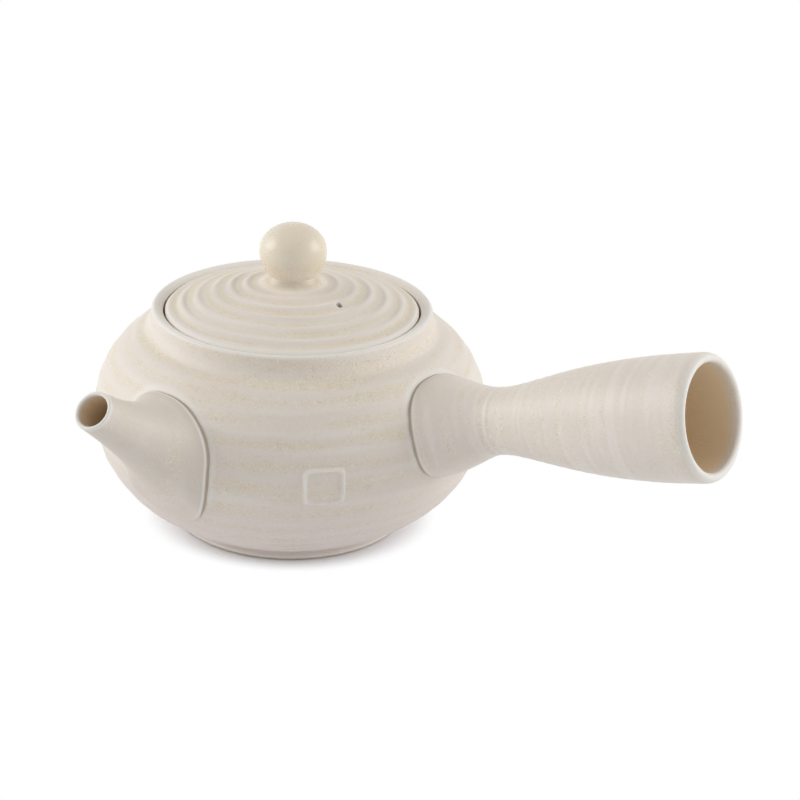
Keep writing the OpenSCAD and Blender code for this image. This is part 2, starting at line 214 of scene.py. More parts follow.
class HandleSizes(bpy.types.PropertyGroup):
    """Sizes of the hollow handle"""

    rise: angle("Rise", "Rise above level", 16.6)
    width: length("Width", "Width where it is pressed on the wall", 32)
    rim_gap: length("Gap to the collar", "Distance from the top of its edge", 4.7)
    below: length("Below the belly", "Distance of its lower edge below the belly's widest line", 5.5)
    edge_t: length("Edge thickness", "Thickness of the edge pressed on the wall", 1.0)
    axis_up: length("Axis up", "Height of its axis over the middle of that edge", 2.15)
    neck: length("Neck", "Distance along it from the wall to its waist", 19)
    reach: length("Length", "Distance along it from the wall to its end", 86.3)
    waist_r: length("Waist radius", "Radius of the waist", 9.6)
    end_r: length("End radius", "Radius of the end", 17.4)
    hold: length("Hold on top", "Distance over which the edge holds its width, on top", 2)
    hold_under: length("Hold underneath", "The same distance underneath", 9)
    flare: length("Flare on top", "Distance over which the edge sweeps into the waist, on top", 14)
    flare_under: length("Flare underneath", "The same distance underneath", 16)
    pull_waist: length("Pull at the waist", "Length over which the grip leaves its waist", 12)
    pull_end: length("Pull at the end", "Length over which the grip reaches its end's radius", 39)
    lip: length("Lip", "Length of the rounding over the lip", 2.6)
    wall: length("Wall", "Thickness of the wall", 2.8)
    inner_edge: length("Inner edge", "Rounding of the lip's inner edge", 1.2)
    ring_depth: length("Ring depth", "Depth of the throwing rings", 0.035)
    ring_pitch: length("Ring pitch", "Mean distance between those rings", 4.1)
    ring_drift: length("Ring drift", "Length over which they draw closer and apart", 17)
    line_pitch: length("Line pitch", "Distance between the fine throwing lines", 2.6)
    first_line: length("First line", "Distance of the first strong ring from the wall", 19)
    second_line: length("Second line", "Distance of the second strong ring from the wall", 30.2)
    line_width: length("Line width", "Width of the strong rings", 0.7)


class LidSizes(bpy.types.PropertyGroup):
    """Sizes of the lid"""

    sink: length("Sink", "Depth of its edge below the rim's crest", 0.8)
    rise: length("Rise", "Rise from its edge to its middle", 9)
    thickness: length("Thickness", "Thickness of the dome", 3.8)
    gap: length("Gap", "Clearance around the flange", 0.6)
    flange_t: length("Flange thickness", "Thickness of the locating flange", 2.8)
    edge_round: length("Edge rounding", "Rounding of its edge", 0.7)
    ring_depth: length("Ring depth", "Depth of the throwing rings", 0.21)
    ring_level: length("Ring level", "Depth of the middle of those rings below the dome", 0.35)
    flat: length("Flat edge", "Width of the flat edge around the rings", 3.5)
    ring_pitch: length("Ring pitch", "Distance between the rings", 4.9)
    ring_crest: number("Ring crest", "Sharpness of the ridges", 1.7)
    vent_r: length("Vent radius", "Radius of the vent hole", 0.9)
    vent_out: length("Vent distance", "Distance of the vent hole from the axis", 19.8)
    vent_turn: angle("Vent direction", "Direction of the vent hole from the handle", -8)


class KnobSizes(bpy.types.PropertyGroup):
    """Sizes of the knob"""

    top: length("Top", "Height of its top above its widest line", 8.3)
    under: length("Under", "Depth of the ball below its widest line", 10.8)
    neck_r: length("Neck radius", "Radius of the neck", 7.4)
    neck_h: length("Neck height", "Height of the neck", 2.15)
    base_r: length("Base radius", "Radius of the neck's base on the lid", 10.6)
    base_sink: length("Base sink", "How far that base sinks in the lid at its edge", 0.15)


class SealSizes(bpy.types.PropertyGroup):
    """Sizes of the raised square frame of the potter's seal"""

    turn: angle("Direction", "Direction from the handle", -43)
    z: length("Height", "Height of its middle", 35.7)
    width: length("Width", "Width between the middles of its lines", 10.8)
    height: length("Frame height", "Height between the middles of its lines", 10.2)
    line: length("Line", "Width of the raised line", 1.9)
    proud: length("Proud", "Height of the raised line", 0.85)
    squareness: number("Squareness", "2 is an ellipse, more is squarer", 6.5)


class PressSizes(bpy.types.PropertyGroup):
    """Sizes of the edges where the spout and the handle are pressed on the wall"""

    rounding: length("Rounding", "Rounding of the edge", 0.75)
    fullness: number("Fullness", "2 is an ellipse, more is squarer", 2.3)
    sink: length("Sink", "How deep the edge sinks in the wall", 0.5)
    spread: length("Spread", "How far the edge spreads at the wall", 0.3)


class GlazeColours(bpy.types.PropertyGroup):
    """Colours of the glaze and the clay"""

    ivory: colour("Ivory", "The glaze where it lies even", "#eae0d5")
    warm: colour("Warm", "The glaze in its warmer bands", "#e6d8be")
    pale: colour("Pale", "The glaze on ridges", "#f1ebe3")
    blush: colour("Blush", "The glaze low on the body", "#e7d9d2")
    # Thin: pale glaze over edges, also used as a painted highlight along the pressed edges and the seal's
    # raised frame
    thin: colour("Thin", "The glaze on its thin edges", "#f3f0ea")
    # The handle's colour is the spout's glaze made lighter: painted light for the brighter light along the
    # handle
    handle: colour("Handle", "The glaze of the handle", "#e6dcd1")
    spout: colour("Spout", "The glaze of the spout", "#ded4c8")
    knob: colour("Knob", "The glaze of the knob", "#ece0ca")
    pore: colour("Pore", "The glaze in its fine pores", "#cbbda6")
    clay: colour("Clay", "The clay in the hollows", "#ead5b6")
    # Painted shade for the crevices beside pressed edges, the gap round the lid, the vent's hole, under the
    # knob's ball and where the foot meets the floor
    seam: colour("Seam", "The glaze in the seams", "#aa9c86")
    speck: colour("Speck", "The iron specks", "#8d7c66")


class StageSettings(bpy.types.PropertyGroup):
    """The floor, the lamps and the camera"""

    camera_x: length("Camera X", "Place of the camera along the handle", 331.5)
    camera_y: length("Camera Y", "Place of the camera across the handle", -424.4)
    camera_z: length("Camera Z", "Height of the camera", 270.7)
    heading: angle("Heading", "Direction of the view from +X", 124.434)
    pitch: angle("Pitch", "How far down the camera looks", 23.426)
    roll: angle("Roll", "How far the camera is turned about its view", 2.0137)
    lens: number("Lens", "Focal length", 85.5, unit="CAMERA")
    left_power: number("Left power", "Power of the left lamp", 5.7, unit="POWER")
    right_power: number("Right power", "Power of the right lamp", 5.2, unit="POWER")
    lamp_side: angle("Lamp side", "Turn of each lamp away from the camera", 95)
    lamp_lift: angle("Lamp lift", "Height of the lamps over the table, as an angle", 26)
    lamp_size: length("Lamp size", "Width and height of the lamps", 640)
    lamp_away: length("Lamp distance", "Distance of the lamps from the pot", 1100)
    fill: share("Fill", "Level of the light from the sides", 0.62)
    fill_top: share("Fill from above", "Level of the light from straight above", 0.39)
    shade_r: length("Shade", "Distance from its middle at which the floor's shadow begins to fade", 35)
    white_r: length("White", "Distance from that middle from which the floor is plain white", 45)
    shade_ahead: length("Shade ahead", "How far that middle lies before the pot's", 3)
    shade_wide: number("Shade width", "Stretch of the shadow across the view", 1.03)
    shade_deep: number("Shade depth", "Stretch of the shadow along the view", 0.91)
    glow: share("Glow", "Level of the light that the floor sends up", 0.04)


class Teapot(bpy.types.PropertyGroup):
    """All sizes and colours of the teapot"""

    body: PointerProperty(type=BodySizes)
    rim: PointerProperty(type=RimSizes)
    spout: PointerProperty(type=SpoutSizes)
    handle: PointerProperty(type=HandleSizes)
    lid: PointerProperty(type=LidSizes)
    knob: PointerProperty(type=KnobSizes)
    seal: PointerProperty(type=SealSizes)
    press: PointerProperty(type=PressSizes)
    glaze: PointerProperty(type=GlazeColours)
    stage: PointerProperty(type=StageSettings)


# Curves

def spread(count):
    """Even steps from 0 to 1, both ends included."""
    return [i / count for i in range(count + 1)]


def fade(value, low, high):
    """0 up to low, 1 from high on, and smooth between them."""
    s = min(1, max(0, (value - low) / (high - low)))
    return s * s * (3 - 2 * s)


def curve2(start, pull, end, s):
    """A point on the curve from start to end that one point pulls."""
    return start * (1 - s) ** 2 + pull * (2 * s * (1 - s)) + end * s**2


def curve3(start, first, second, end, s):
    """A point on the curve from start to end that two points pull."""
    return curve2(start, first, second, s) * (1 - s) + curve2(first, second, end, s) * s


def arc(centre, radius, start, end):
    """Points of an arc, with its angles in degrees."""
    angles = [math.radians(start + (end - start) * s) for s in spread(ARC_STEPS)]
    return [centre + radius * Vector((math.cos(a), math.sin(a))) for a in angles]


def rounded(corners):
    """The line round corners given as r, z and rounding, without the first and the last one."""
    for before, corner, after in zip(corners, corners[1:], corners[2:]):
        here = Vector(corner[:2])
        back = (Vector(before[:2]) - here).normalized()
        ahead = (Vector(after[:2]) - here).normalized()
        reach = corner[2] / math.tan(back.angle(ahead) / 2)
        for s in spread(ARC_STEPS):
            yield curve2(here + reach * back, here, here + reach * ahead, s)


def crested(ridges, crest):
    """The throwing rings after a number of ridges: 1 on a ridge, -1 in a groove."""
    wave = 0.5 + 0.5 * math.cos(FULL_TURN * ridges)
    return 2 * wave**crest - 1


def direction(turn, lift):
    """The direction at a turn from +X and an angle over level."""
    level = math.cos(lift)
    return Vector((level * math.cos(turn), level * math.sin(turn), math.sin(lift)))


# The wall

Half = namedtuple("Half", ("depth", "height", "turn", "side"))


class Wall:
    """The outer wall: part of an ellipse below the belly's widest line and of another above it."""

    def __init__(self, teapot):
        body, rim = teapot.body, teapot.rim
        self.body = body
        self.collar_z = rim.rim_z - rim.collar_h
        self.foot_neck_r = body.foot_r - body.foot_draw
        self.shoulder = self.ellipse(rim.rim_r + rim.collar_step, self.collar_z, body.shoulder_turn, 1)
        self.base = self.ellipse(self.foot_neck_r, body.foot_h, body.base_turn, -1)

    def ellipse(self, r, z, turn, side):
        """The half of the wall that reaches a radius and a height after a turn, above or below the belly."""
        depth = (self.body.belly_r - r) / (1 - math.cos(turn))
        return Half(depth, abs(z - self.body.belly_z) / math.sin(turn), turn, side)

    def half(self, z):
        """The half of the wall at a height."""
        return self.shoulder if z >= self.body.belly_z else self.base

    def turn(self, z):
        """How far round its ellipse the wall is at a height."""
        return math.asin(min(STEEPEST, abs(z - self.body.belly_z) / self.half(z).height))

    def ring(self, z):
        """1 on a ridge of the throwing rings, -1 in a groove."""
        body, half = self.body, self.half(z)
        s = half.side * self.turn(z) / half.turn
        if s > body.ring_above:
            ridges = (s - body.ring_above) / body.pitch_above
        elif s < -body.ring_below:
            below = -s - body.ring_below
            ridges = below / body.pitch_below * (1 + body.tighten * below)
        else:
            ridges = (s - body.ring_above) / (body.ring_above + body.ring_below)
        return crested(ridges, body.ring_crest)

    def radius(self, z):
        """Radius of the wall without its rings."""
        return self.body.belly_r - self.half(z).depth * (1 - math.cos(self.turn(z)))

    def normal(self, z):
        """The wall's direction outwards, as r and z."""
        turn, half = self.turn(z), self.half(z)
        return Vector((math.cos(turn) / half.depth, half.side * math.sin(turn) / half.height)).normalized()

    def height(self, s):
        """Height for s from -1 at the foot to 1 at the collar."""
        half = self.base if s < 0 else self.shoulder
        return self.body.belly_z + half.height * math.sin(half.turn * s)

    def inside(self, s):
        """A point of the inner wall."""
        z = self.height(s)
        return Vector((self.radius(z), z)) - self.body.wall * self.normal(z)

    def lifted(self, across, z, lift):
        """A point over the wall, for a piece that points along +X."""
        radius, normal = self.radius(z) + self.body.ring_depth, self.normal(z)
        grow = 1 + lift * normal.x / radius
        return Vector((math.sqrt(radius**2 - across**2) * grow, across * grow, z + lift * normal.y))

    def laid(self, line, lifts):
        """A line laid over the wall, at the same lift all round or at one for each point."""
        if not isinstance(lifts, list):
            lifts = [lifts] * len(line)
        return [self.lifted(across, z, lift) for (across, z), lift in zip(line, lifts)]


# Skins

def new_skin():
    """An empty skin, and the layers that carry its tones."""
    bm = bmesh.new()
    return bm, {tone: bm.verts.layers.float.new(tone) for tone in TONES}


def set_tones(vert, layers, source, column=0):
    """Gives a point the tones of its outline point or ring, where a list has one for each column."""
    for tone, layer in layers.items():
        value = getattr(source, tone)
        vert[layer] = value[column] if isinstance(value, list) else value


def closed(bm):
    """The skin with its seams merged and its faces turned outwards."""
    bmesh.ops.remove_doubles(bm, verts=bm.verts, dist=WELD)
    bmesh.ops.recalc_face_normals(bm, faces=bm.faces)
    return bm


def revolve(outline):
    """A closed skin: the outline turned a quarter about Z, and mirrored to the whole round."""
    bm, layers = new_skin()
    verts, last, along = [], None, 0.0
    for point in outline:
        along += math.dist(last[:2], point[:2]) if last else 0.0
        last = point
        verts.append(bm.verts.new((point.r, 0, point.z)))
        set_tones(verts[-1], layers, point._replace(along=along))
    edges = [bm.edges.new(pair) for pair in zip(verts, verts[1:])]
    bmesh.ops.spin(
        bm, geom=verts + edges, cent=(0, 0, 0), axis=(0, 0, 1), angle=QUARTER_TURN, steps=TURNED_STEPS // 4
    )
    for axis in "XY":
        bmesh.ops.mirror(bm, geom=bm.verts[:] + bm.edges[:] + bm.faces[:], axis=axis, merge_dist=WELD)
    return closed(bm)


def loft(rings):
    """A closed skin over rings that go out along the outside and back along the inside."""
    rings = list(rings)
    bm, layers = new_skin()
    around, along = len(rings[0].points), len(rings)
    bmesh.ops.create_grid(bm, x_segments=around, y_segments=along, size=1)
    for vert in bm.verts:
        column = round((vert.co.x + 1) / 2 * around) % around
        ring = rings[round((vert.co.y + 1) / 2 * along) % along]
        vert.co = ring.points[column]
        set_tones(vert, layers, ring, column)
    return closed(bm)


def unsettle(bm, swell, ring_depth=0):
    """Leaves the unevenness of a hand: wide swells, and rings that come and go."""
    bm.normal_update()
    layers = bm.verts.layers.float
    shifts = []
    for vert in bm.verts:
        amount = swell * noise.noise(vert.co / SWELL_SIZE)
        around = Vector((vert.co.x, vert.co.y, vert[layers["along"]])) / RING_STRETCH
        amount += ring_depth * vert[layers["ridge"]] * noise.noise(around)
        shifts.append(vert.normal * amount * vert[layers["swell"]])
    for vert, shift in zip(bm.verts, shifts):
        vert.co += shift


def swing(bm, turn):
    """Turns a skin about Z."""
    bmesh.ops.rotate(bm, verts=bm.verts, cent=(0, 0, 0), matrix=Matrix.Rotation(turn, 3, "Z"))


def pierce(bm, centre, axis, radius):
    """A round hole through both skins of a wall, on the side that the axis points to."""

    def off_axis(point):
        arm = point - centre
        return arm - axis * arm.dot(axis)

    def inside(face):
        middle = face.calc_center_median()
        return (middle - centre).dot(axis) > 0 and off_axis(middle).length < radius

    hit = dict.fromkeys(face for face in bm.faces if inside(face))
    edges = dict.fromkeys(edge for face in hit for edge in face.edges)
    rims = [edge for edge in edges if any(face not in hit for face in edge.link_faces)]
    bmesh.ops.delete(bm, geom=list(hit), context="FACES")
    for vert in dict.fromkeys(vert for edge in rims for vert in edge.verts):
        arm = off_axis(vert.co)
        vert.co += arm.normalized() * radius - arm
    bmesh.ops.bridge_loops(bm, edges=rims)


def put(name, data):
    """A new object in the scene."""
    made = bpy.data.objects.new(name, data)
    bpy.context.scene.collection.objects.link(made)
    return made


def put_mesh(name, bm, material):
    """A new object in the scene, with the finished mesh of a bmesh."""
    mesh = bpy.data.meshes.new(name)
    bm.to_mesh(mesh)
    bm.free()
    mesh.materials.append(material)
    return put(name, mesh)


def piece(name, bm, body, node, material):
    """The finished object of a skin, riding on its body."""
    made = put_mesh(name, bm, material)
    made.data.shade_smooth()
    made.data.set_sharp_from_angle(angle=CREASE)
    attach(made, body)
    if node:
        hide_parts(node)


# Rings of the luted pieces, which are drawn along +X

def turns():
    """Directions around a luted piece."""
    return [FULL_TURN * i / LUTED_STEPS for i in range(LUTED_STEPS)]


class Edge(namedtuple("Edge", "width low high fullness widest shift", defaults=(2, 0.5, 0))):
    """The outline of a pressed edge on the wall. A fullness of 2 is an ellipse, more is squarer."""

    def middle(self):
        """Height at which it is widest."""
        return self.low + (self.high - self.low) * self.widest

    def grown(self, by):
        """The outline outside this one."""
        return self._replace(width=self.width + 2 * by, low=self.low - by, high=self.high + by)

    def line(self):
        """Its points across and up the wall."""

        def full(c):
            return math.copysign(abs(c) ** (2 / self.fullness), c)

        middle, line = self.middle(), []
        for turn in turns():
            across, up = full(math.cos(turn)), full(math.sin(turn))
            half = self.high - middle if up > 0 else middle - self.low
            line.append((self.width / 2 * across + self.shift * max(0, up) ** 2, middle + half * up))
        return line

    def mark(self):
        """Its sizes for the press_mark node group."""
        middle = self.middle()
        heights = {"Middle": middle, "Over": self.high - middle, "Under": middle - self.low}
        return heights | {"Width": self.width / 2, "Fullness": self.fullness, "Shift": self.shift}


def bore_line(z, radius):
    """The line of a round bore on the wall."""
    return Edge(2 * radius, z - radius, z + radius).line()


def spout_edge(teapot, wall):
    """The spout's pressed edge."""
    spout = teapot.spout
    low, high = teapot.body.foot_h + spout.foot_gap, wall.collar_z - spout.rim_gap
    return Edge(spout.width, low, high, teapot.press.fullness, spout.widest, spout.shift)


def handle_edge(teapot, wall):
    """The handle's pressed edge."""
    handle = teapot.handle
    low, high = teapot.body.belly_z - handle.below, wall.collar_z - handle.rim_gap
    return Edge(handle.width, low, high, teapot.press.fullness)


def lean_point(centre, lean, radius, turn):
    """A point of a ring that leans back."""
    up = radius * math.sin(turn)
    return centre + Vector((-math.sin(lean) * up, radius * math.cos(turn), math.cos(lean) * up))


def lean_ring(centre, lean, radius):
    """A ring that leans back."""
    return [lean_point(centre, lean, radius, turn) for turn in turns()]


def blend_rings(start, pull, end, s):
    """The ring at s on the curves between two rings that a third one pulls."""
    return [curve2(a, b, c, s) for a, b, c in zip(start, pull, end)]


def press_shares():
    """How thick a pressed edge stands around its piece: it is smoothed out underneath."""
    least, smoothed_below, full_above = 0.1, -0.94, -0.55
    return [least + (1 - least) * fade(math.sin(turn), smoothed_below, full_above) for turn in turns()]


def pressed_top(wall, edge, edge_t):
    """The top of a pressed edge, which stands off the wall."""
    return wall.laid(edge.line(), [edge_t * thick for thick in press_shares()])


def pressed_rings(wall, press, edge_t, edge, skin, edge_end):
    """The rounded edge of a pressed piece, from under the wall to where its skin takes over."""
    shares = press_shares()
    foot = edge.grown(press.spread).line()
    side = wall.laid(edge.line(), [(edge_t - press.rounding) * thick for thick in shares])
    # The rings sunk under the wall and the lower rounding carry painted shade: the shadow in the crevice
    # between the edge and the wall.
    for lift in (-press.sink, 0):
        yield Ring(wall.laid(foot, lift), seam=shares)
    for s in spread(ARC_STEPS):
        # Pale tone along the rounding: thin glaze over it and a painted highlight.
        pale, dark = fade(s, 0.3, 0.55) * (1 - fade(s, 0.75, 1)), 1 - fade(s, 0.1, 0.45)
        yield Ring(
            blend_rings(side, skin(0), skin(edge_end), s),
            edge=[pale * thick for thick in shares],
            seam=[dark * thick for thick in shares],
        )


# Shader nodes

class Web:
    """Adds nodes to a shader tree, each joined to what feeds it."""

    def __init__(self, tree):
        self.tree = tree

    def feed(self, socket, value):
        """Links a socket, or sets it to a value or to a colour property."""
        if isinstance(value, bpy.types.NodeSocket):
            self.tree.links.new(value, socket)
        else:
            socket.default_value = (*value, 1.0) if isinstance(value, Color) else value

    def node(self, kind, feeds, **settings):
        made = self.tree.nodes.new("ShaderNode" + kind)
        for key, value in settings.items():
            setattr(made, key, value)
        for socket, value in feeds.items():
            self.feed(made.inputs[socket], value)
        return made

    def calc(self, operation, *values):
        return self.node("Math", dict(enumerate(values)), operation=operation).outputs[0]

    plus = partialmethod(calc, "ADD")
    minus = partialmethod(calc, "SUBTRACT")
    times = partialmethod(calc, "MULTIPLY")
    ratio = partialmethod(calc, "DIVIDE")
    power = partialmethod(calc, "POWER")
    most = partialmethod(calc, "MAXIMUM")
    least = partialmethod(calc, "MINIMUM")
    size = partialmethod(calc, "ABSOLUTE")

    def scaled(self, vector, factor):
        return self.node("VectorMath", {0: vector, "Scale": factor}, operation="SCALE").outputs[0]

    def mix(self, amount, under, over):
        return self.node("Mix", {0: amount, 6: under, 7: over}, data_type="RGBA").outputs[2]

    def remap(self, value, low, high, to_low=0.0, to_high=1.0):
        feeds = {"Value": value, "From Min": low, "From Max": high, "To Min": to_low, "To Max": to_high}
        return self.node("MapRange", feeds, interpolation_type="SMOOTHSTEP").outputs[0]

    def noise(self, vector, scale=1.0, detail=2.0, **fourth):
        feeds = {"Vector": vector, "Scale": scale, "Detail": detail} | fourth
        return self.node("TexNoise", feeds, noise_dimensions="4D" if fourth else "3D").outputs["Fac"]

    def tone(self, name):
        return self.node("Attribute", {}, attribute_name=name).outputs["Fac"]

    def place(self):
        return self.node("TexCoord", {}).outputs["Object"]

    def axes(self, vector):
        return self.node("SeparateXYZ", {0: vector}).outputs

    def group(self, tree, feeds):
        return self.node("Group", feeds, node_tree=tree).outputs

    def seen(self):
        """1 for what the camera sees, straight or in a reflection, and 0 for what lights the pot."""
        path = self.node("LightPath", {}).outputs
        mirrored = self.most(path["Is Glossy Ray"], path["Is Transmission Ray"])
        return self.most(path["Is Camera Ray"], mirrored)


def woven(made):
    """The node web of a new material or world."""
    made.use_nodes = True
    return Web(made.node_tree)


def node_group(name, inputs, outputs, build):
    """A shader node group, built once."""
    if name in bpy.data.node_groups:
        return bpy.data.node_groups[name]
    tree = bpy.data.node_groups.new(name, "ShaderNodeTree")
    for socket, kind in inputs.items():
        tree.interface.new_socket(socket, in_out="INPUT", socket_type="NodeSocket" + kind)
    for socket in outputs:
        tree.interface.new_socket(socket, in_out="OUTPUT", socket_type="NodeSocketFloat")
    web = Web(tree)
    inlet, outlet = tree.nodes.new("NodeGroupInput"), tree.nodes.new("NodeGroupOutput")
    for socket, value in build(web, inlet.outputs).items():
        web.feed(outlet.inputs[socket], value)
    return tree


def thrown_bands():
    """Bands of glaze that follow the throwing rings and break up around the piece."""
    streak_around, streak_along, streak_share = 2.7, 2.3, 0.45
    pale_around, pale_along, pale_offset = 1.3, 1.2, 40.0
    warm_range, pale_range = (0.46, 0.62), (0.5, 0.68)

    def build(web, inlet):
        along = web.times(inlet["Along"], inlet["Bands"])
        around = web.scaled(inlet["Place"], inlet["Patches"])
        broad = web.noise(around, W=along)
        streak = web.noise(web.scaled(around, streak_around), detail=3.0, W=web.times(along, streak_along))
        both = web.plus(web.times(broad, 1 - streak_share), web.times(streak, streak_share))
        warm = web.minus(both, inlet["Ridge"])
        apart = web.calc("MULTIPLY_ADD", along, pale_along, pale_offset)
        pale = web.plus(web.noise(web.scaled(around, pale_around), W=apart), inlet["Ridge"])
        return {"Warm": web.remap(warm, *warm_range), "Pale": web.remap(pale, *pale_range)}

    inputs = dict.fromkeys(("Along", "Ridge", "Bands", "Patches"), "Float") | {"Place": "Vector"}
    return node_group("thrown_bands", inputs, ("Warm", "Pale"), build)


def clay_grain():
    """The fine grain of the glaze, with a few iron specks and pin holes."""
    coarse_scale, coarse_share = 0.28, 0.25
    speck_cells, speck_size, speck_rarity, speck_depth = 105.0, 0.055, 0.93, 0.8

    def build(web, inlet):
        place = inlet["Place"]
        fine = web.noise(place, scale=inlet["Fineness"], detail=3.0)
        coarse = web.noise(place, scale=web.times(inlet["Fineness"], coarse_scale))
        grain = web.plus(web.times(fine, 1 - coarse_share), web.times(coarse, coarse_share))
        cells = web.node("TexVoronoi", {"Vector": place, "Scale": speck_cells}).outputs
        chance = web.node("SeparateColor", {0: cells["Color"]}).outputs
        near = web.calc("LESS_THAN", cells["Distance"], web.times(chance[1], speck_size))
        specks = web.times(near, web.calc("GREATER_THAN", chance[0], speck_rarity))
        return {"Grain": grain, "Specks": specks, "Height": web.minus(grain, web.times(specks, speck_depth))}

    inputs = {"Place": "Vector", "Fineness": "Float"}
    return node_group("clay_grain", inputs, ("Grain", "Specks", "Height"), build)


def press_mark():
    """The clay pushed up on the wall beside a pressed edge, but not underneath it."""
    begins, full_from, full_to, ends = 0.3 * MM, 0.7 * MM, 0.9 * MM, 2.6 * MM
    none_below, full_above = -0.85, -0.4

    def build(web, inlet):
        rise = web.minus(inlet["Up"], inlet["Middle"])
        over = web.ratio(web.most(rise, 0.0), inlet["Over"])
        under = web.ratio(web.least(rise, 0.0), inlet["Under"])
        rise = web.plus(over, under)
        shift = web.times(web.power(over, 2.0), inlet["Shift"])
        across = web.ratio(web.size(web.minus(inlet["Across"], shift)), inlet["Width"])
        squares = [web.power(side, inlet["Fullness"]) for side in (across, web.size(rise))]
        out = web.power(web.plus(*squares), web.ratio(1.0, inlet["Fullness"]))
        gap = web.times(web.minus(out, 1.0), inlet["Width"])
        beside = web.times(web.remap(gap, begins, full_from), web.remap(gap, ends, full_to))
        front = web.calc("GREATER_THAN", inlet["Out"], 0.0)
        above = web.times(front, web.remap(rise, none_below, full_above))
        return {"Beside": web.times(beside, above)}

    places = ("Across", "Out", "Up")
    sizes = ("Width", "Middle", "Over", "Under", "Fullness", "Shift")
    return node_group("press_mark", dict.fromkeys(places + sizes, "Float"), ("Beside",), build)


def fire(web, layers, base, clay, roughness, relief, specular):
    """Lays colours over a base and feeds the shader, with the clay's grain in its roughness and bump.

    Each layer gives where it lies, how much it covers there, and its colour.
    """
    look = base
    for mask, amount, over in layers:
        look = web.mix(web.times(mask, amount), look, over)
    shader = web.tree.nodes["Principled BSDF"]
    web.feed(shader.inputs["Base Color"], look)
    web.feed(shader.inputs["Roughness"], web.remap(clay["Grain"], 0.3, 0.7, *roughness))
    web.feed(shader.inputs["Normal"], web.node("Bump", relief | {"Height": clay["Height"]}).outputs[0])
    shader.inputs["Specular IOR Level"].default_value = specular


def glaze(
    name, base, bands, patches, warm=0.5, pale=0.45, ring=0.06, grain=0.5, blush=0.0, roughness=0.5, marks=()
):
    """A satin ivory glaze over thrown clay, with its tones read from the piece.

    Bands and patches are counted in a metre along the piece and around it.
    """
    colours = bpy.context.scene.teapot.glaze
    made = bpy.data.materials.new(name)
    web = woven(made)
    place = web.place()
    axes = web.axes(place)
    ridge = web.times(web.tone("ridge"), ring)
    feeds = {"Place": place, "Along": web.tone("along"), "Ridge": ridge, "Bands": bands, "Patches": patches}
    thrown = web.group(thrown_bands(), feeds)
    clay = web.group(clay_grain(), {"Place": place, "Fineness": GLAZE_FINENESS})
    gritty = web.calc("MULTIPLY_ADD", thrown["Warm"], BAND_GRIT * grain, (1 - BAND_GRIT) * grain)
    layers = [
        (thrown["Warm"], warm, colours.warm),
        (thrown["Pale"], pale, colours.pale),
        (web.remap(axes["Z"], *BLUSH), blush, colours.blush),
        (web.remap(clay["Grain"], *PORES), gritty, colours.pore),
        (web.remap(clay["Grain"], *FLECKS), gritty, colours.thin),
    ]
    for out, side, across, sizes in marks:
        feeds = {"Out": web.times(axes[out], side), "Across": axes[across], "Up": axes["Z"]}
        layers.append((web.group(press_mark(), feeds | sizes)["Beside"], 0.7, colours.thin))
    # Over these go the pale thin glaze on edges, also a painted highlight on the pressed edges and the seal;
    # bare clay in the hollows; painted shade in crevices, the gap round the lid, the vent and under the
    # foot; and iron specks.
    layers += [
        (web.tone("edge"), 0.75, colours.thin),
        (web.tone("hollow"), 1.0, colours.clay),
        (web.tone("seam"), 0.7, colours.seam),
        (clay["Specks"], 0.55, colours.speck),
    ]
    relief = {"Strength": 0.8 * grain, "Distance": 0.18 * MM}
    in_pores, on_grains = roughness - 0.06, roughness + 0.1
    fire(web, layers, base, clay, (in_pores, on_grains), relief, specular=0.4)
    return made


def bare_clay(colours):
    """Unglazed clay, fine-grained and dull."""
    made = bpy.data.materials.new("bare_clay")
    web = woven(made)
    place = web.place()
    clay = web.group(clay_grain(), {"Place": place, "Fineness": CLAY_FINENESS})
    patches = web.remap(web.noise(place, scale=110.0), 0.35, 0.65)
    layers = [(patches, 0.5, colours.warm), (clay["Specks"], 0.8, colours.speck)]
    fire(web, layers, colours.clay, clay, (0.72, 0.9), {"Strength": 0.4, "Distance": 0.2 * MM}, specular=0.3)
    return made


# Operators, one for each piece and one for the stage

